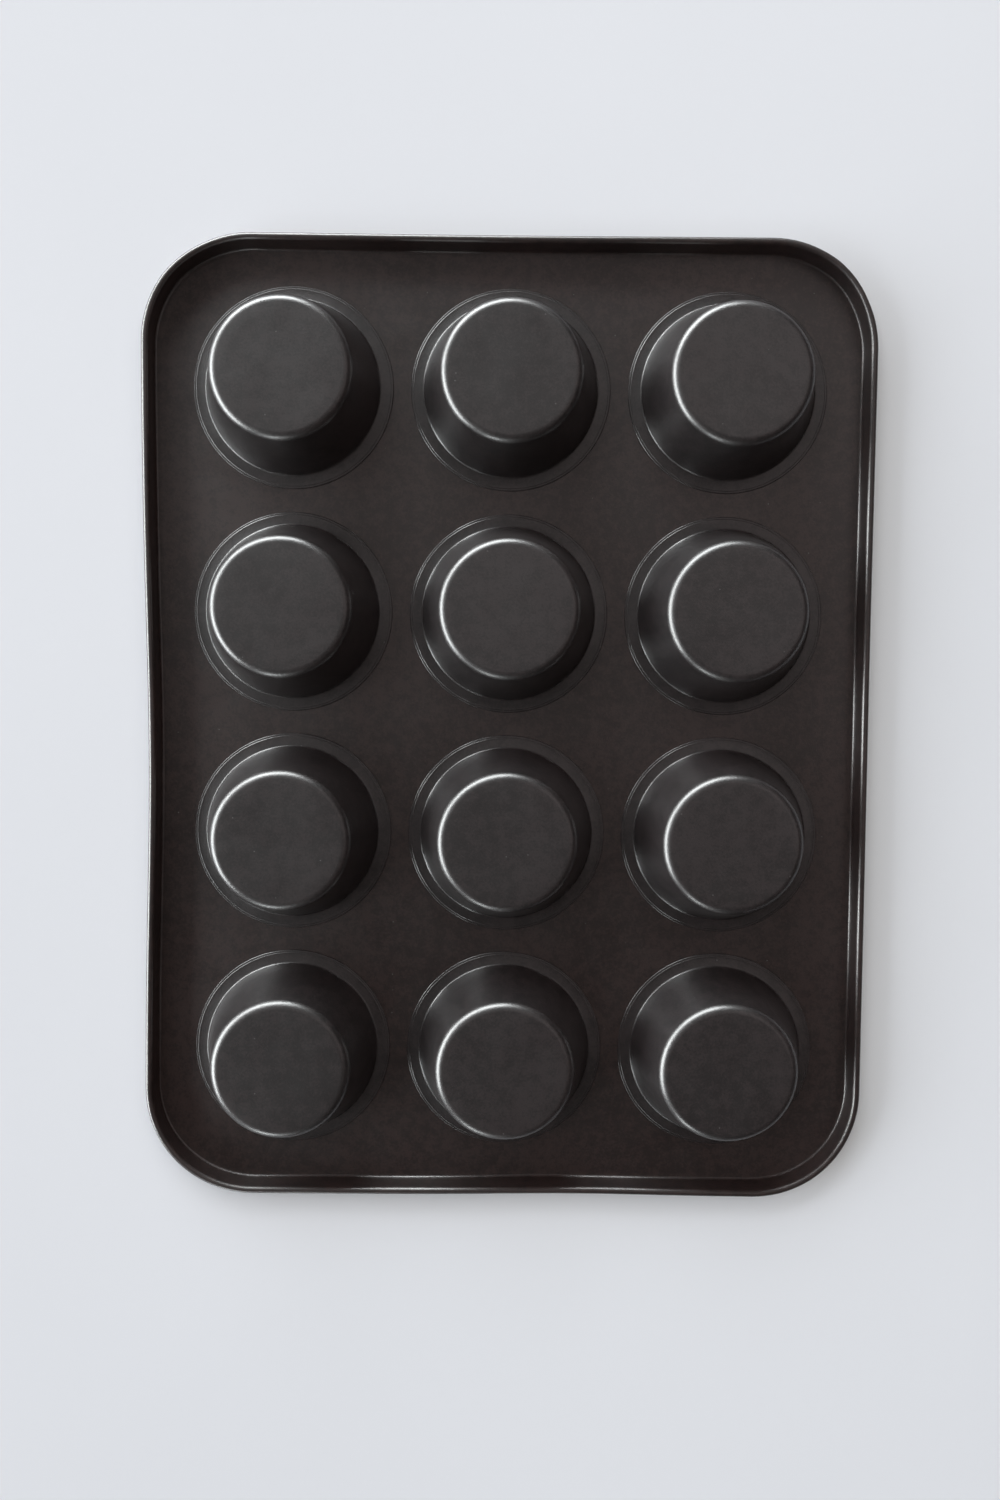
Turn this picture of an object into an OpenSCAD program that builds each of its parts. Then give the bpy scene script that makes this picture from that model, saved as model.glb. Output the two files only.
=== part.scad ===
// Twelve-cup muffin tin in coated steel sheet, modelled bottom up as it stands to drain:
// the mouths lie in the plane z = 0 and the cup bottoms face +Z. Turn it over for use.
// X runs across the three columns of cups, Y along the four rows.

/* [Pan] */
// Overall width over the rolled rim, along X
pan_w = 268; // [264:0.5:285]
// Overall length over the rolled rim, along Y
pan_l = 354.5; // [348:0.5:375]
// Overall height, from the mouth plane to the outside of the cup bottoms
pan_h = 30; // [22:1:45]
// Outside corner radius of the rim
corner_r = 40; // [30:1:50]
// Thickness of the deck sheet
deck_t = 0.5; // [0.4:0.05:0.6]

/* [Cups] */
// Spacing of the cups across the tin
pitch_x = 80; // [78:0.5:84]
// Spacing of the cups along the tin
pitch_y = 82; // [78:0.5:86]
// Thickness of the cup sheet
cup_t = 0.4; // [0.3:0.05:0.5]
// Radius of the middle of the wall where it meets the flange
root_r = 31.7; // [30:0.1:32.4]
// Radius of the middle of the wall where it meets the bottom
base_r = 24.3; // [21:0.1:28]
// Outside radius of the rounded corner round the cup bottom
base_round = 3.4; // [1.5:0.1:4]
// Outside radius of the fillet between the flange and the wall
root_round = 0.8; // [0.6:0.1:1.2]

/* [Lap joint] */
// Outside radius of the flange that lies on the underside of the deck
flange_r = 36.8; // [36.5:0.1:38]
// Radius where the flange starts to rise towards the wall
rise_r = 35.2; // [35:0.1:35.6]
// How steeply the flange rises towards the wall
rise_deg = 7; // [3:1:10]
// Length of the deck's collar up the inside of the cup wall
collar_len = 3; // [2:0.5:5]

/* [Rim] */
// Height of the rim, from the mouth plane to the top of the rolled edge
rim_h = 9; // [7:0.1:14]
// Outward lean of the rim wall
rim_lean = 3; // [0:0.5:6]
// Inside radius of the crease between the deck and the rim wall
crease_r = 0.9; // [0.5:0.1:2]
// How far the edge is rolled round the wire
curl_deg = 290; // [240:5:300]
// Diameter of the rim wire
wire_d = 1.6; // [1.2:0.1:2]
// Gap between the butted ends of the rim wire
wire_gap = 0.6; // [0.2:0.1:2]

/* [Hidden] */
$fn = 96;
bend_step = 12;      // longest step, in degrees, along the outline of a bend
rise_round = 4;      // radius, in the middle of the cup sheet, where the flange starts to rise
wire_fit = 0.02;     // room between the wire and the sheet rolled round it
columns = 3;
rows = 4;
corner_x = pan_w / 2 - corner_r;
corner_y = pan_l / 2 - corner_r;

// Heights of the middles of the sheet layers, from the mouth plane up
deck_z = deck_t / 2;
flange_z = deck_t + cup_t / 2;
bottom_z = pan_h - cup_t / 2;
layer_gap = (deck_t + cup_t) / 2;

// The cup wall, from its corner with the flange to its corner with the bottom
root_z = flange_z + (rise_r - root_r) * tan(rise_deg);
wall_deg = atan2(root_r - base_r, bottom_z - root_z);
wall_len = norm([root_r - base_r, bottom_z - root_z]);
root_turn = 90 - wall_deg - rise_deg;
root_mid_r = root_round + cup_t / 2;
base_mid_r = base_round - cup_t / 2;
rise_set = rise_round * tan(rise_deg / 2);
root_set = root_mid_r * tan(root_turn / 2);
base_set = base_mid_r * tan((90 - wall_deg) / 2);
rise_len = (rise_r - root_r) / cos(rise_deg) - rise_set - root_set;

// The rim, in radii from a corner's centre
curl_mid_r = wire_d / 2 + wire_fit + deck_t / 2;
crease_mid_r = crease_r + deck_t / 2;
curl_x = corner_r - deck_t / 2 - curl_mid_r;
curl_z = rim_h - deck_t / 2 - curl_mid_r;
curl_start_x = curl_x - curl_mid_r * cos(rim_lean);
curl_start_z = curl_z + curl_mid_r * sin(rim_lean);
crease_x = curl_start_x - (curl_start_z - deck_z) * tan(rim_lean);
crease_set = crease_mid_r * tan((90 - rim_lean) / 2);

// One face of a bent sheet, as points. Each step is [straight length, turn in degrees, mid radius],
// and off is the distance of the face to the left of the sheet's middle.
function face(steps, off, x, y, h, i = 0) =
  i == len(steps) ? [] :
  let (
    s = steps[i],
    side = sign(s[1]),
    ax = x + s[0] * cos(h),
    ay = y + s[0] * sin(h),
    cx = ax - side * s[2] * sin(h),
    cy = ay + side * s[2] * cos(h),
    n = max(1, ceil(abs(s[1]) / bend_step)),
    h2 = h + s[1],
    bend = side == 0
      ? [[ax - off * sin(h), ay + off * cos(h)]]
      : [for (k = [0:n]) let (a = h + s[1] * k / n)
          [cx + (side * s[2] - off) * sin(a), cy - (side * s[2] - off) * cos(a)]],
    bx = side == 0 ? ax : cx + side * s[2] * sin(h2),
    by = side == 0 ? ay : cy - side * s[2] * cos(h2)
  )
  concat(bend, face(steps, off, bx, by, h2, i + 1));

// Closed outline of a bent sheet of thickness t that starts at p with heading h
function sheet(steps, t, p, h) =
  let (
    left = face(concat([[0, 0, 0]], steps), t / 2, p.x, p.y, h),
    right = face(concat([[0, 0, 0]], steps), -t / 2, p.x, p.y, h),
    last = len(right) - 1
  )
  [for (q = concat(left, [for (k = [0:last]) right[last - k]])) [max(0, q.x), q.y]];

// Outline of a cup: flange, root, wall and bottom
cup_steps = [
  [flange_r - rise_r - rise_set, -rise_deg, rise_round],
  [rise_len, -root_turn, root_mid_r],
  [wall_len - root_set - base_set, 90 - wall_deg, base_mid_r],
  [base_r - base_set, 0, 0]
];

// Outline of the deck at a hole: it follows the inside of the cup up a short collar
collar_steps = [
  [flange_r - rise_r - rise_set, -rise_deg, rise_round + layer_gap],
  [rise_len, -root_turn, root_mid_r + layer_gap],
  [collar_len, 0, 0]
];

// Outline of the deck's edge: flat, crease, rim wall and rolled edge
rim_steps = [
  [crease_x - crease_set, 90 - rim_lean, crease_mid_r],
  [(curl_start_z - deck_z) / cos(rim_lean) - crease_set, -curl_deg, curl_mid_r]
];

module rim_section() {
  polygon(sheet(rim_steps, deck_t, [0, deck_z], 0));
}

module wire_section() {
  translate([curl_x, curl_z])
    circle(d = wire_d);
}

// A straight run of a section along the side that faces +X, turned by a for the other sides
module side_run(a, reach, from, to) {
  rotate([0, 0, a])
    translate([reach, to, 0])
      rotate([90, 0, 0])
        linear_extrude(to - from)
          children();
}

// The four corners of a swept section
module corner_turns() {
  for (c = [[1, 1, 0], [-1, 1, 90], [-1, -1, 180], [1, -1, 270]]) {
    translate([c.x * corner_x, c.y * corner_y, 0])
      rotate([0, 0, c.z])
        rotate_extrude(angle = 90)
          children();
  }
}

module cup_at(row, column) {
  translate([(column - (columns + 1) / 2) * pitch_x, ((rows + 1) / 2 - row) * pitch_y, 0])
    children();
}

// The flat of the deck and its rim wall, rolled over at the edge, with a plain hole for each cup
module deck_plate() {
  difference() {
    union() {
      translate([-corner_x, -corner_y, 0])
        cube([2 * corner_x, 2 * corner_y, deck_t]);
      side_run(0, corner_x, -corner_y, corner_y) rim_section();
      side_run(180, corner_x, -corner_y, corner_y) rim_section();
      side_run(90, corner_y, -corner_x, corner_x) rim_section();
      side_run(270, corner_y, -corner_x, corner_x) rim_section();
      corner_turns() rim_section();
    }
    for (row = [1:rows], column = [1:columns]) {
      cup_at(row, column)
        cylinder(r = flange_r, h = 4 * deck_t, center = true);
    }
  }
}

// The pressed sheet: the plate, with a collar drawn up into the mouth of each cup
module deck() {
  color("DimGray") {
    deck_plate();
    for (row = [1:rows], column = [1:columns]) {
      cup_at(row, column)
        rotate_extrude()
          polygon(sheet(collar_steps, deck_t, [flange_r, deck_z], 180));
    }
  }
}

// The stiffening wire inside the rolled edge, with its butted ends halfway along the -X side
module rim_wire() {
  color("Silver") {
    side_run(0, corner_x, -corner_y, corner_y) wire_section();
    side_run(180, corner_x, -corner_y, -wire_gap / 2) wire_section();
    side_run(180, corner_x, wire_gap / 2, corner_y) wire_section();
    side_run(90, corner_y, -corner_x, corner_x) wire_section();
    side_run(270, corner_y, -corner_x, corner_x) wire_section();
    corner_turns() wire_section();
  }
}

// A pressed cup: its flange lies on the deck, and the deck's collar fits inside its mouth
module cup(row, column) {
  color("Gray")
    cup_at(row, column)
      rotate_extrude()
        polygon(sheet(cup_steps, cup_t, [flange_r, flange_z], 180));
}

module cup_r1_c1() { cup(1, 1); }
module cup_r1_c2() { cup(1, 2); }
module cup_r1_c3() { cup(1, 3); }
module cup_r2_c1() { cup(2, 1); }
module cup_r2_c2() { cup(2, 2); }
module cup_r2_c3() { cup(2, 3); }
module cup_r3_c1() { cup(3, 1); }
module cup_r3_c2() { cup(3, 2); }
module cup_r3_c3() { cup(3, 3); }
module cup_r4_c1() { cup(4, 1); }
module cup_r4_c2() { cup(4, 2); }
module cup_r4_c3() { cup(4, 3); }

deck();
rim_wire();
cup_r1_c1();
cup_r1_c2();
cup_r1_c3();
cup_r2_c1();
cup_r2_c2();
cup_r2_c3();
cup_r3_c1();
cup_r3_c2();
cup_r3_c3();
cup_r4_c1();
cup_r4_c2();
cup_r4_c3();
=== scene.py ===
import bpy
import bmesh
import math
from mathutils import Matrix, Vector, noise


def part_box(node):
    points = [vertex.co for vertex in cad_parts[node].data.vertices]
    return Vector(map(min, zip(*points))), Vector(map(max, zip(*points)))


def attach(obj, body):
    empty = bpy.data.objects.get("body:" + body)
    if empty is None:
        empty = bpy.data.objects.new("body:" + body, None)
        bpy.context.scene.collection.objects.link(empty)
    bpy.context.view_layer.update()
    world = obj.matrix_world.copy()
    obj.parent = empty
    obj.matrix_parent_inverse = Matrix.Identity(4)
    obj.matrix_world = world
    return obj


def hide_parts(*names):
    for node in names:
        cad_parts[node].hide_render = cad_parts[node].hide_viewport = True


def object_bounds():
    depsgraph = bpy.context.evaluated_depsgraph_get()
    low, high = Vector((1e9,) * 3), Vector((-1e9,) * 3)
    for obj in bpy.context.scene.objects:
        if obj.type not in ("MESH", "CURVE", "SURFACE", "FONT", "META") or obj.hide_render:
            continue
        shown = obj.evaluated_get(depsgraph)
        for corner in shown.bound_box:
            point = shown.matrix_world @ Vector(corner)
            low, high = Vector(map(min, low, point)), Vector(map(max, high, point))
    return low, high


# A twelve-cup muffin tin lying bottom up on a pale table. Sheet sections are worked out in mm,
# as in the CAD, and turned to metres where a vertex is made.
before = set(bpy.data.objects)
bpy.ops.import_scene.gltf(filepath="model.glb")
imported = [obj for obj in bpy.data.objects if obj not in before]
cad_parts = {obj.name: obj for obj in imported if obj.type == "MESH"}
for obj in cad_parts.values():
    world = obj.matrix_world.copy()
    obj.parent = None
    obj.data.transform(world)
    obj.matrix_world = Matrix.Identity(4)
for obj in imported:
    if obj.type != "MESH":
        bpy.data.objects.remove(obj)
cad_lo, cad_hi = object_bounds()
MM = 0.001


# ---------------------------------------------------------------- camera
# A pinhole camera fitted to the photograph. It looks almost straight down, with +Y up the picture.
SENSOR_HEIGHT, LENS = 36.0, 27.69
CAMERA_PLACE = (-0.00525, 0.01363, 0.43285)
CAMERA_TURN = (-0.0541, -0.0061, 0.0103)
CLIP_NEAR, CLIP_FAR = 0.01, 20.0


def make_camera():
    data = bpy.data.cameras.new("camera")
    data.sensor_fit = "VERTICAL"
    data.sensor_height = SENSOR_HEIGHT
    data.lens = LENS
    data.clip_start = CLIP_NEAR
    data.clip_end = CLIP_FAR
    cam = bpy.data.objects.new("camera", data)
    cam.rotation_mode = "ZYX"
    cam.rotation_euler = CAMERA_TURN
    cam.location = CAMERA_PLACE
    bpy.context.scene.collection.objects.link(cam)
    bpy.context.scene.camera = cam


# ---------------------------------------------------------------- materials
class Graph:
    """A node material round one Principled shader, with short calls for the nodes before it."""

    def __init__(self, name):
        self.mat = bpy.data.materials.new(name)
        self.mat.use_nodes = True
        self.tree = self.mat.node_tree
        self.tree.nodes.clear()
        out = self.add("ShaderNodeOutputMaterial")
        self.shader = self.add("ShaderNodeBsdfPrincipled")
        self.link(self.shader.outputs[0], out.inputs["Surface"])
        self.coord = self.add("ShaderNodeTexCoord").outputs["Object"]

    def add(self, kind):
        return self.tree.nodes.new(kind)

    def link(self, source, socket):
        self.tree.links.new(source, socket)

    def put(self, value, socket):
        """Links an output to a socket, or sets the socket to a number."""
        if isinstance(value, bpy.types.NodeSocket):
            self.link(value, socket)
        else:
            socket.default_value = value

    def noise(self, scale, detail, rough, distort=0.0):
        node = self.add("ShaderNodeTexNoise")
        node.inputs["Scale"].default_value = scale
        node.inputs["Detail"].default_value = detail
        node.inputs["Roughness"].default_value = rough
        node.inputs["Distortion"].default_value = distort
        self.link(self.coord, node.inputs["Vector"])
        return node.outputs["Fac"]

    def specks(self, scale, core, edge, share):
        """Small soft spots, in the given share of the cells of a Voronoi pattern."""
        cells = self.add("ShaderNodeTexVoronoi")
        cells.inputs["Scale"].default_value = scale
        self.link(self.coord, cells.inputs["Vector"])
        near = self.ramp(cells.outputs["Distance"], core, edge, start=1.0, end=0.0)
        chance = self.add("ShaderNodeSeparateColor")
        self.link(cells.outputs["Color"], chance.inputs[0])
        return self.calc("MULTIPLY", near, self.calc("GREATER_THAN", chance.outputs[0], 1.0 - share))

    def ramp(self, value, lo, hi, start=0.0, end=1.0):
        """Runs smoothly from start to end while the value runs from lo to hi."""
        node = self.add("ShaderNodeMapRange")
        node.interpolation_type = "SMOOTHSTEP"
        self.link(value, node.inputs["Value"])
        node.inputs["From Min"].default_value = lo
        node.inputs["From Max"].default_value = hi
        node.inputs["To Min"].default_value = start
        node.inputs["To Max"].default_value = end
        return node.outputs["Result"]

    def calc(self, operation, first, second):
        node = self.add("ShaderNodeMath")
        node.operation = operation
        self.put(first, node.inputs[0])
        self.put(second, node.inputs[1])
        return node.outputs[0]

    def blend(self, *parts):
        """The sum of outputs that are each given with a weight."""
        shares = [self.calc("MULTIPLY", value, weight) for value, weight in parts]
        total = shares[0]
        for share in shares[1:]:
            total = self.calc("ADD", total, share)
        return total

    def vary(self, base, value, amount):
        """A base number moved up and down by an output that lies round 0.5."""
        swing = self.calc("MULTIPLY", self.calc("SUBTRACT", value, 0.5), amount)
        return self.calc("ADD", base, swing)

    def mix(self, factor, first, second):
        """Mixes two colours, each an output or three numbers."""
        node = self.add("ShaderNodeMix")
        node.data_type = "RGBA"
        self.link(factor, node.inputs["Factor"])
        colour_a, colour_b = [socket for socket in node.inputs if socket.type == "RGBA"]
        for value, socket in ((first, colour_a), (second, colour_b)):
            self.put((*value, 1.0) if isinstance(value, tuple) else value, socket)
        return next(socket for socket in node.outputs if socket.type == "RGBA")

    def bump(self, height, distance, strength, normal=None):
        node = self.add("ShaderNodeBump")
        node.inputs["Strength"].default_value = strength
        node.inputs["Distance"].default_value = distance
        self.link(height, node.inputs["Height"])
        if normal:
            self.link(normal, node.inputs["Normal"])
        return node.outputs["Normal"]

    def finish(self, colour, roughness, normal):
        """Links what varies over the surface to the shader and returns the material."""
        self.link(colour, self.shader.inputs["Base Color"])
        self.link(roughness, self.shader.inputs["Roughness"])
        self.link(normal, self.shader.inputs["Normal"])
        return self.mat


# Noise scales are in cycles per metre, bump distances in metres, colours linear.
DUST = (0.070, 0.064, 0.062)
DUST_SHARE = 0.10
COAT_TINT = (1.0, 0.985, 0.97, 1.0)
COAT_ROUGH_SWING = 0.10
GRAIN_BUMP, FINE_BUMP, WAVE_BUMP = 0.00005, 0.00001, 0.0006
WIRE_DULL, WIRE_BRIGHT = (0.36, 0.35, 0.34), (0.60, 0.60, 0.59)
TABLE_DARK, TABLE_LIGHT = (0.796, 0.800, 0.806), (0.816, 0.820, 0.826)
STREAK_BUMP = TABLE_BUMP = 0.00002


def coating(name, dark, light, rough):
    """Satin non-stick coating: fine speckle, faint clouding and rub marks, a few dust flecks."""
    g = Graph(name)
    cloud = g.noise(scale=22.0, detail=3.0, rough=0.55)
    grain = g.noise(scale=1100.0, detail=3.0, rough=0.65)
    fine = g.noise(scale=3800.0, detail=2.0, rough=0.6)
    mottle = g.noise(scale=260.0, detail=2.0, rough=0.5)
    rub = g.noise(scale=60.0, detail=4.0, rough=0.6, distort=0.4)
    wave = g.noise(scale=9.0, detail=2.0, rough=0.5)
    tone = g.blend((cloud, 0.25), (grain, 0.45), (mottle, 0.30))
    colour = g.mix(g.ramp(tone, 0.42, 0.58), dark, light)
    dust = g.specks(scale=260.0, core=0.04, edge=0.09, share=DUST_SHARE)
    roughness = g.vary(g.vary(rough, rub, COAT_ROUGH_SWING), fine, COAT_ROUGH_SWING)
    normal = g.bump(grain, GRAIN_BUMP, strength=0.8)
    normal = g.bump(fine, FINE_BUMP, strength=0.5, normal=normal)
    normal = g.bump(wave, WAVE_BUMP, strength=0.35, normal=normal)
    g.shader.inputs["Specular Tint"].default_value = COAT_TINT
    return g.finish(g.mix(dust, colour, DUST), roughness, normal)


def drawn_wire(name):
    """Plain drawn steel: bright, with fine streaks and light staining."""
    g = Graph(name)
    stain = g.noise(scale=90.0, detail=4.0, rough=0.6)
    streak = g.noise(scale=2200.0, detail=2.0, rough=0.5)
    tone = g.blend((stain, 0.7), (streak, 0.3))
    colour = g.mix(g.ramp(tone, 0.3, 0.7), WIRE_DULL, WIRE_BRIGHT)
    g.shader.inputs["Metallic"].default_value = 1.0
    roughness = g.ramp(streak, 0.2, 0.8, start=0.28, end=0.46)
    return g.finish(colour, roughness, g.bump(streak, STREAK_BUMP, strength=0.6))


def table_top(name):
    """Matt white, with faint clouding and grain."""
    g = Graph(name)
    cloud = g.noise(scale=3.0, detail=3.0, rough=0.5)
    grain = g.noise(scale=900.0, detail=2.0, rough=0.5)
    colour = g.mix(g.ramp(cloud, 0.3, 0.7), TABLE_DARK, TABLE_LIGHT)
    g.shader.inputs["Specular IOR Level"].default_value = 0.0
    roughness = g.ramp(grain, 0.3, 0.7, start=0.80, end=0.90)
    return g.finish(colour, roughness, g.bump(grain, TABLE_BUMP, strength=0.3))


DECK_COAT = coating("deck_coating", (0.0130, 0.0070, 0.0062), (0.0265, 0.0143, 0.0126), 0.36)
# The cup coating is the deck's coating made cooler and less red. It is the cups' own brown-black colour,
# with a painted cool reflection on their walls and bottoms.
CUP_COAT_AND_PAINTED_REFLECTION = coating("cup_coating_and_painted_reflection", (0.0107, 0.0075, 0.0074), (0.0219, 0.0153, 0.0151), 0.365)
WIRE = drawn_wire("wire_steel")
TABLE = table_top("table_top")


# ---------------------------------------------------------------- sheet-metal sections
BEND_STEP = 9.0       # degrees of bend to one edge
LONGEST = 4.0         # mm of straight section to one edge
SHARP_DEG = 38        # a steeper edge than this is shaded sharp
SAME_PLACE = 1e-7     # m


def face_line(steps, off, x, y, heading):
    """One face of a bent sheet, in mm, at a distance to the left of the middle line from x, y.

    Each step is a straight length, the turn after it in degrees, and that bend's middle radius.
    """
    pts = [(x - off * math.sin(heading), y + off * math.cos(heading))]
    for length, turn, radius in steps:
        x += length * math.cos(heading)
        y += length * math.sin(heading)
        if turn == 0:
            pts.append((x - off * math.sin(heading), y + off * math.cos(heading)))
            continue
        side = 1 if turn > 0 else -1
        centre_x = x - side * radius * math.sin(heading)
        centre_y = y + side * radius * math.cos(heading)
        reach = side * radius - off
        count = max(1, math.ceil(abs(turn) / BEND_STEP))
        for k in range(count + 1):
            a = heading + math.radians(turn) * k / count
            pts.append((centre_x + reach * math.sin(a), centre_y - reach * math.cos(a)))
        heading += math.radians(turn)
        x = centre_x + side * radius * math.sin(heading)
        y = centre_y - side * radius * math.cos(heading)
    return pts


def spread(line):
    """Adds points along the long straight stretches."""
    out = [line[0]]
    for a, b in zip(line, line[1:]):
        n = max(1, math.ceil(math.dist(a, b) / LONGEST))
        out += [(a[0] + (b[0] - a[0]) * k / n, a[1] + (b[1] - a[1]) * k / n) for k in range(1, n + 1)]
    return out


def skin(bm, a, b):
    """A band of faces between two closed loops with the same number of vertices."""
    for k in range(len(a)):
        n = (k + 1) % len(a)
        bm.faces.new([a[k], a[n], b[n], b[k]])


def closed_edges(bm, loop):
    return [bm.edges.get((loop[k], loop[(k + 1) % len(loop)])) for k in range(len(loop))]


def link_mesh(name, bm, mat, node):
    """Makes the piece that stands in for a CAD node."""
    bmesh.ops.remove_doubles(bm, verts=bm.verts[:], dist=SAME_PLACE)
    bmesh.ops.recalc_face_normals(bm, faces=bm.faces[:])
    mesh = bpy.data.meshes.new(name)
    bm.to_mesh(mesh)
    bm.free()
    mesh.polygons.foreach_set("use_smooth", [True] * len(mesh.polygons))
    mesh.set_sharp_from_angle(angle=math.radians(SHARP_DEG))
    mesh.materials.append(mat)
    ob = bpy.data.objects.new(name, mesh)
    bpy.context.scene.collection.objects.link(ob)
    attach(ob, "root")
    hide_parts(node)
    return ob


# ---------------------------------------------------------------- cups
CUPS = ["cup_r%d_c%d" % (r, c) for r in range(1, 5) for c in range(1, 4)]
PAN_H = (cad_hi.z - cad_lo.z) / MM
DECK_T, CUP_T = 0.5, 0.4
# Radii of the flange's edge, and of the places where the straight stretches of a cup's section
# would meet: the start of its rise, its root and its bottom
FLANGE_R, RISE_R, ROOT_R, BASE_R = 36.8, 35.2, 31.7, 24.3
RISE_DEG = 7.0
# Rounding there: of the middle line at the rise, of the outer face at the root and the bottom
RISE_ROUND, ROOT_ROUND, BASE_ROUND = 4.0, 1.0, 3.4
COLLAR_LEN = 3.0
# The flange's cut edge is eased this much, through points at these angles in radians
EDGE = 0.38
EDGE_ANGLES = (0.0, 0.3, 0.6, 0.9, 1.2)
# The faint ring pressed into each flange: how far in from its edge, slope, straight length, rounding
RING_IN, RING_DEG, RING_LEN, RING_ROUND = 0.8, 35.0, 0.05, 0.3
CUP_SEGS, COLLAR_SEGS = 128, 96
# Unevenness of the pressed walls: its most in mm, the height where it starts and over which it
# grows, how it runs round and up the wall, and what sets one cup apart from the next
UNEVEN, UNEVEN_FROM, UNEVEN_OVER = 0.07, 1.2, 8.0
UNEVEN_ROUND, UNEVEN_UP, UNEVEN_NEXT = 1.2, 0.04, 7.3
ON_AXIS = 1e-6


def cup_steps():
    """Steps of the cup's section from its flange to its middle, and of the deck's collar beside it."""
    rise = math.radians(RISE_DEG)
    ring = math.radians(RING_DEG)
    ring_x = 2 * RING_ROUND * math.sin(ring) + RING_LEN * math.cos(ring)
    ring_z = 2 * RING_ROUND * (1 - math.cos(ring)) + RING_LEN * math.sin(ring)
    root_z = DECK_T + CUP_T / 2 + ring_z + (RISE_R - ROOT_R) * math.tan(rise)
    bottom_z = PAN_H - CUP_T / 2
    wall = math.atan2(ROOT_R - BASE_R, bottom_z - root_z)
    wall_len = math.hypot(ROOT_R - BASE_R, bottom_z - root_z)
    turn = math.pi / 2 - wall - rise
    root_mid, base_mid = ROOT_ROUND + CUP_T / 2, BASE_ROUND - CUP_T / 2
    # Each bend takes this much of the straight lengths on both sides of it
    rise_set = RISE_ROUND * math.tan(rise / 2)
    root_set = root_mid * math.tan(turn / 2)
    base_set = base_mid * math.tan((math.pi / 2 - wall) / 2)
    flat = FLANGE_R - RISE_R - rise_set
    rise_len = (RISE_R - ROOT_R) / math.cos(rise) - rise_set - root_set
    deep = (DECK_T + CUP_T) / 2
    cup = [
        (RING_IN, -RING_DEG, RING_ROUND),
        (RING_LEN, RING_DEG, RING_ROUND),
        (flat - RING_IN - ring_x, -RISE_DEG, RISE_ROUND),
        (rise_len, -math.degrees(turn), root_mid),
        (wall_len - root_set - base_set, 90 - math.degrees(wall), base_mid),
        (BASE_R - base_set, 0, 0),
    ]
    collar = [
        (flat, -RISE_DEG, RISE_ROUND + deep),
        (rise_len, -math.degrees(turn), root_mid + deep),
        (COLLAR_LEN, 0, 0),
    ]
    return cup, collar


CUP_STEPS, COLLAR_STEPS = cup_steps()


def cup_centre(node):
    lo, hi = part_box(node)
    return Vector(((lo[0] + hi[0]) / 2, (lo[1] + hi[1]) / 2, 0))


def spin(bm, line, index, segs):
    """Turns one face line round the axis of the cup with this index in CUPS."""
    centre = cup_centre(CUPS[index])
    rings = []
    for r, z in line:
        if r < ON_AXIS:
            rings.append([bm.verts.new((centre.x, centre.y, z * MM))])
            continue
        ring = []
        grow = min(1.0, max(0.0, (z - UNEVEN_FROM) / UNEVEN_OVER)) * UNEVEN
        for k in range(segs):
            a = 2 * math.pi * k / segs
            way = Vector((math.cos(a), math.sin(a), 0))
            spot = way * UNEVEN_ROUND + Vector((UNEVEN_NEXT * index, z * UNEVEN_UP, 0))
            p = centre + way * ((r + noise.noise(spot) * grow) * MM)
            ring.append(bm.verts.new((p.x, p.y, z * MM)))
        rings.append(ring)
    for a, b in zip(rings, rings[1:]):
        if len(b) > 1:
            skin(bm, a, b)
            continue
        for k in range(segs):
            bm.faces.new([a[k], a[(k + 1) % segs], b[0]])
    return rings


def make_cup(index):
    top = face_line(CUP_STEPS, -CUP_T / 2, FLANGE_R, DECK_T + CUP_T / 2, math.pi)
    low = face_line(CUP_STEPS, CUP_T / 2, FLANGE_R, DECK_T + CUP_T / 2, math.pi)
    x, z = top[0]
    eased = [(x - EDGE * (1 - math.cos(t)), z - EDGE * (1 - math.sin(t))) for t in EDGE_ANGLES]
    top = eased + [(x - EDGE, z)] + top[1:]
    bm = bmesh.new()
    outside = spin(bm, spread(top), index, CUP_SEGS)
    inside = spin(bm, spread(low), index, CUP_SEGS)
    skin(bm, outside[0], inside[0])
    ob = link_mesh(CUPS[index] + "_shell", bm, CUP_COAT_AND_PAINTED_REFLECTION, CUPS[index])


# ---------------------------------------------------------------- deck and rim
deck_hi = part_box("deck")[1]
CORNER_R = 40.0
corner_x = deck_hi[0] / MM - CORNER_R
corner_y = deck_hi[1] / MM - CORNER_R
RIM_H = 9.0
LEAN, CURL = 3.0, 290.0                 # degrees: of the rim's wall, and of the rolled edge
CREASE_R = 0.9
WIRE_D, WIRE_FIT = 1.6, 0.02
CURL_MID = WIRE_D / 2 + WIRE_FIT + DECK_T / 2
# The wire's middle, out from the corner centre and up
CURL_X = CORNER_R - DECK_T / 2 - CURL_MID
CURL_Z = RIM_H - DECK_T / 2 - CURL_MID
STRIP = 30.0                            # the deck's flat is swept with the rim outside this distance
CORNER_STEPS, STATION_GAP = 24, 8.0     # edges to a corner, and mm between places on the straights
WIRE_SEGS, WIRE_END = 16, 0.3           # each end of the wire stands this far from the joint
# Each side of the rim, in mm: how far in its two ends stand, the depth, place and width of its bow,
# and how much further in the foot of its wall stands. Place and width are shares of half the side.
LEFT = (0.0, 0.0, 2.05, -0.08, 0.41, -0.10)
RIGHT = (0.25, 0.95, 0.3, 0.2, 0.5, 0.0)
TOP = (1.0, 0.45, 0.3, -0.1, 0.5, 0.3)
BOTTOM = (0.0, 0.0, 0.8, 0.2, 0.3, 0.5)
# The bow grows over the deck, from this far outside the last flanges to this far inside the rim
SPRING_START, SPRING_FULL = 1, 4
last_cup = cup_centre("cup_r1_c3") / MM


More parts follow.
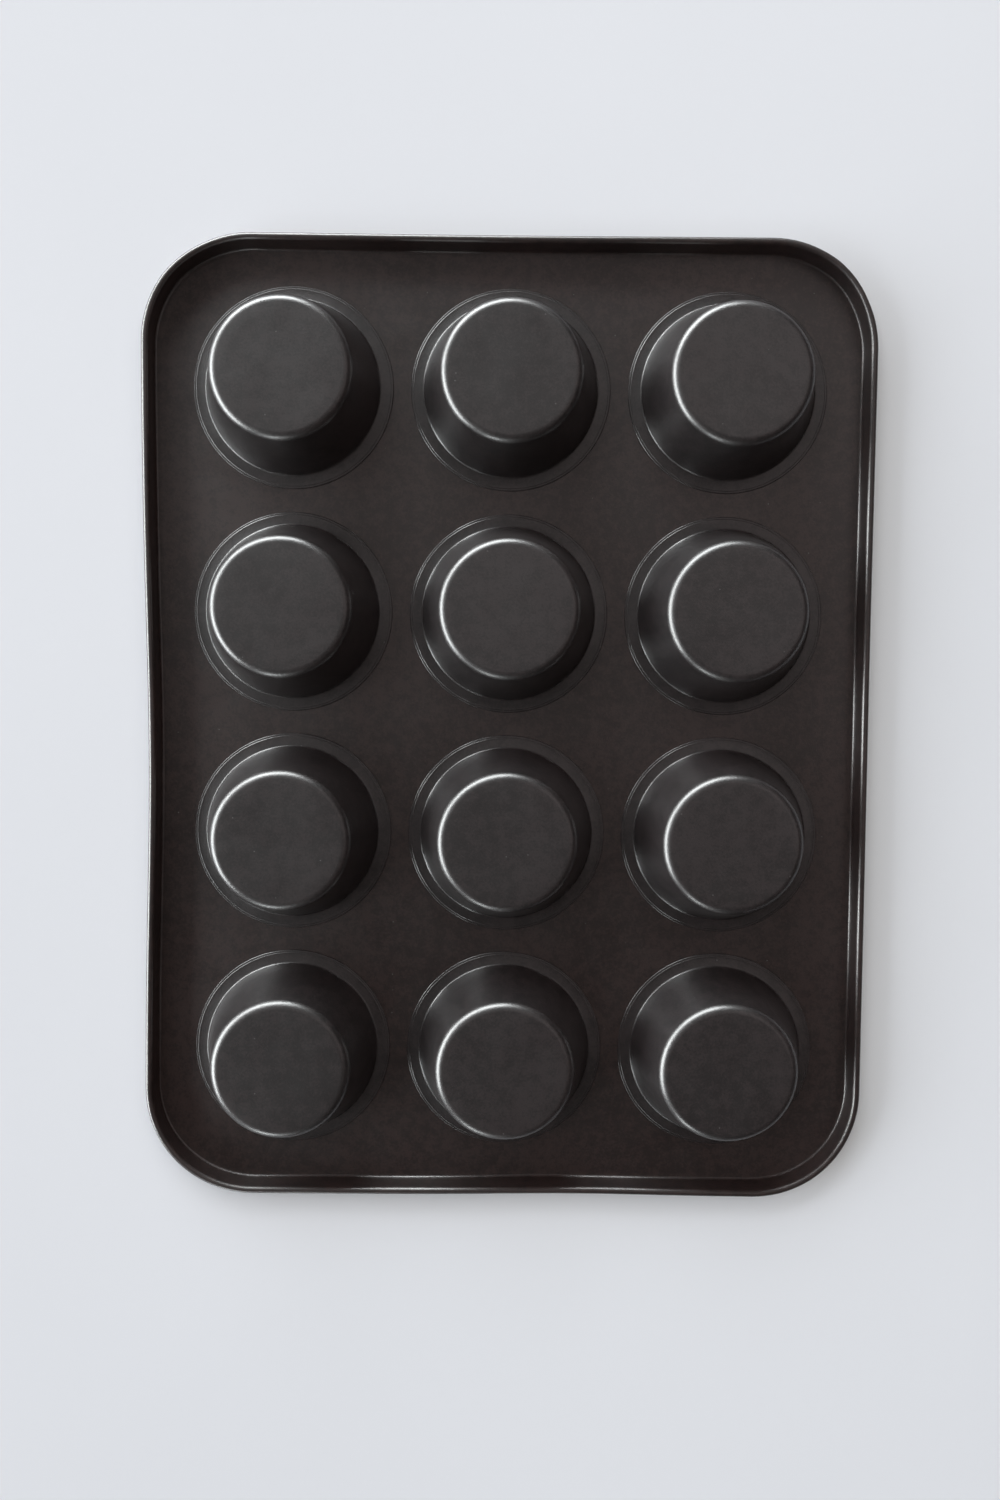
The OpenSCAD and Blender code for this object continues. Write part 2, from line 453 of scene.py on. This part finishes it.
def rim_steps():
    """Steps of the rim's section from the deck's flat, round the crease and the rolled edge."""
    crease_mid = CREASE_R + DECK_T / 2
    lean = math.radians(LEAN)
    start_x = CURL_X - CURL_MID * math.cos(lean)
    start_z = CURL_Z + CURL_MID * math.sin(lean)
    crease_x = start_x - (start_z - DECK_T / 2) * math.tan(lean)
    crease_set = crease_mid * math.tan(math.radians(90 - LEAN) / 2)
    return [
        (crease_x - crease_set - STRIP, 90 - LEAN, crease_mid),
        ((start_z - DECK_T / 2) / math.cos(lean) - crease_set, -CURL, CURL_MID),
    ]


def stations():
    """Places round the rim, anticlockwise: a point on the corner centres' rectangle and the way out."""
    out = []
    corners = [(corner_x, corner_y), (-corner_x, corner_y), (-corner_x, -corner_y), (corner_x, -corner_y)]
    for i, (x, y) in enumerate(corners):
        for k in range(CORNER_STEPS + 1):
            a = math.radians(90 * i + 90 * k / CORNER_STEPS)
            out.append((x, y, math.cos(a), math.sin(a)))
        next_x, next_y = corners[(i + 1) % 4]
        a = math.radians(90 * i + 90)
        n = max(2, round(math.dist((x, y), (next_x, next_y)) / STATION_GAP))
        for k in range(1, n):
            t = k / n
            out.append((x + (next_x - x) * t, y + (next_y - y) * t, math.cos(a), math.sin(a)))
    return out


def pull(t, z, start, end, bow, middle, width, foot):
    """How far in a side stands at t, which runs from -1 to 1 along it, and at height z."""
    arch = bow * math.exp(-((t - middle) / width) ** 2)
    return start + (end - start) * (t + 1) / 2 + arch + foot * (1 - z / RIM_H)


def bow_share(distance, cup, far):
    """How much of the bow is felt this far from the middle: none beside the cups, all at the rim."""
    near = cup + FLANGE_R + SPRING_START
    return min(1.0, max(0.0, (abs(distance) - near) / (far - SPRING_FULL - near)))


def sprung(x, y, z):
    """The sides of the rim are sprung in a little, as thin sheet is. Takes mm, gives metres."""
    far_x, far_y = corner_x + CORNER_R, corner_y + CORNER_R
    tx, ty = x / far_x, y / far_y
    dx = -pull(ty, z, *RIGHT) if x > 0 else pull(ty, z, *LEFT)
    dy = -pull(tx, z, *TOP) if y > 0 else pull(tx, z, *BOTTOM)
    x += dx * bow_share(x, last_cup.x, far_x)
    y += dy * bow_share(y, last_cup.y, far_y)
    return x * MM, y * MM, z * MM


def sweep(bm, line, around):
    """Carries one face line round the rim."""
    loops = []
    for r, z in line:
        loops.append([bm.verts.new(sprung(x + r * dx, y + r * dy, z)) for x, y, dx, dy in around])
    for a, b in zip(loops, loops[1:]):
        skin(bm, a, b)
    return loops


def make_deck(around):
    """Both faces of the sheet, each of rim, twelve collars and the flat between them."""
    bm = bmesh.new()
    rim_ends, collar_ends = [], []
    for side in (1, -1):
        line = face_line(rim_steps(), side * DECK_T / 2, STRIP, DECK_T / 2, 0.0)
        loops = sweep(bm, spread(line), around)
        rim_ends.append(loops[-1])
        edges = closed_edges(bm, loops[0])
        mouths = []
        for index in range(len(CUPS)):
            line = face_line(COLLAR_STEPS, -side * DECK_T / 2, FLANGE_R, DECK_T / 2, math.pi)
            rings = spin(bm, line, index, COLLAR_SEGS)
            edges += closed_edges(bm, rings[0])
            mouths.append(rings[-1])
        collar_ends.append(mouths)
        bmesh.ops.triangle_fill(bm, use_beauty=True, use_dissolve=False, edges=edges)
    skin(bm, *rim_ends)
    for a, b in zip(*collar_ends):
        skin(bm, a, b)
    ob = link_mesh("deck_sheet", bm, DECK_COAT, "deck")


def make_wire(around):
    """The rim wire, with its butted ends halfway along the -X side."""
    left = [k for k, (_, y, dx, _) in enumerate(around) if dx < 0 and abs(y) < corner_y]
    split = min(left, key=lambda k: abs(around[k][1]))
    x, y, dx, dy = around[split]
    around = [(x, y - WIRE_END, dx, dy)] + around[split + 1:] + around[:split] + [(x, y + WIRE_END, dx, dy)]
    bm = bmesh.new()
    rings = []
    for x, y, dx, dy in around:
        ring = []
        for k in range(WIRE_SEGS):
            a = 2 * math.pi * k / WIRE_SEGS
            r = CURL_X + WIRE_D / 2 * math.cos(a)
            ring.append(bm.verts.new(sprung(x + r * dx, y + r * dy, CURL_Z + WIRE_D / 2 * math.sin(a))))
        rings.append(ring)
    for a, b in zip(rings, rings[1:]):
        skin(bm, a, b)
    for ring in (rings[0], rings[-1]):
        bm.faces.new(ring)
    ob = link_mesh("rim_wire_steel", bm, WIRE, "rim_wire")


# ---------------------------------------------------------------- floor and light
FLOOR_HALF, FLOOR_SEGS = 1.9, 8
FAR, CEILING_FAR = 12.0, 2.6     # m from the object
WORLD_STRENGTH = 0.05
WINDOW = (0.93, 0.985, 1.0)
DAYLIGHT = (0.84, 0.90, 1.0)
WALL = (1.0, 0.90, 0.90)
WARM = (1.0, 0.75, 0.72)
CEILING = (1.0, 0.975, 0.955)


def make_floor():
    bm = bmesh.new()
    bmesh.ops.create_grid(bm, x_segments=FLOOR_SEGS, y_segments=FLOOR_SEGS, size=FLOOR_HALF)
    mesh = bpy.data.meshes.new("floor")
    bm.to_mesh(mesh)
    bm.free()
    mesh.materials.append(TABLE)
    floor = bpy.data.objects.new("floor", mesh)
    floor.location.z = cad_lo.z
    bpy.context.scene.collection.objects.link(floor)


def panel(name, azimuth, elevation, half_az, half_el, radiance, colour, sees, far=FAR):
    """A soft light some way off, by the angles that it fills seen from the object, anticlockwise from +X."""
    data = bpy.data.lights.new(name, "AREA")
    data.shape = "RECTANGLE"
    data.size = 2 * far * math.tan(math.radians(half_az))
    data.size_y = 2 * far * math.tan(math.radians(half_el))
    data.energy = math.pi * data.size * data.size_y * radiance
    data.color = colour
    ob = bpy.data.objects.new(name, data)
    a, e = math.radians(azimuth), math.radians(elevation)
    way = Vector((math.cos(a) * math.cos(e), math.sin(a) * math.cos(e), math.sin(e)))
    ob.location = way * far
    ob.rotation_euler = way.to_track_quat("Z", "Y").to_euler()
    ob.visible_diffuse = sees == "diffuse"
    ob.visible_glossy = sees == "glossy"
    bpy.context.scene.collection.objects.link(ob)


def make_light():
    """Highlights and shade have their own panels, so that each can match the photograph."""
    bpy.context.scene.view_settings.view_transform = "Standard"
    world = bpy.data.worlds.new("soft_room")
    world.use_nodes = True
    background = world.node_tree.nodes["Background"]
    background.inputs["Color"].default_value = (*CEILING, 1.0)
    background.inputs["Strength"].default_value = WORLD_STRENGTH
    bpy.context.scene.world = world
    # Each has its azimuth, elevation, half width and half height in degrees, then its radiance.
    # These are what the coating mirrors
    panel("window_back", 114, 19, 27.5, 14, 36.5, WINDOW, "glossy")
    panel("window_left", 182, 19, 34, 14, 32.5, WINDOW, "glossy")
    panel("window_gap", 251, 15, 4, 10, 34.0, WINDOW, "glossy")
    panel("upper_wall", 100, 81, 18, 9, 0.65, WALL, "glossy")
    panel("far_wall", 18, 58, 22, 14, 0.85, WALL, "glossy")
    panel("near_wall", 285, 60, 40, 15, 0.06, WARM, "glossy")
    # These light the table and cast the soft shadow
    panel("daylight_back", 114, 26, 27.5, 14, 3.8, DAYLIGHT, "diffuse")
    panel("daylight_left", 182, 22, 34, 13, 5.3, DAYLIGHT, "diffuse")
    panel("room_right", 0, 35, 40, 20, 0.25, CEILING, "diffuse")
    panel("ceiling", 88, 68, 35, 35, 1.12, CEILING, "diffuse", far=CEILING_FAR)


make_camera()
for cup_index in range(len(CUPS)):
    make_cup(cup_index)
rim_stations = stations()
make_deck(rim_stations)
make_wire(rim_stations)
make_floor()
make_light()
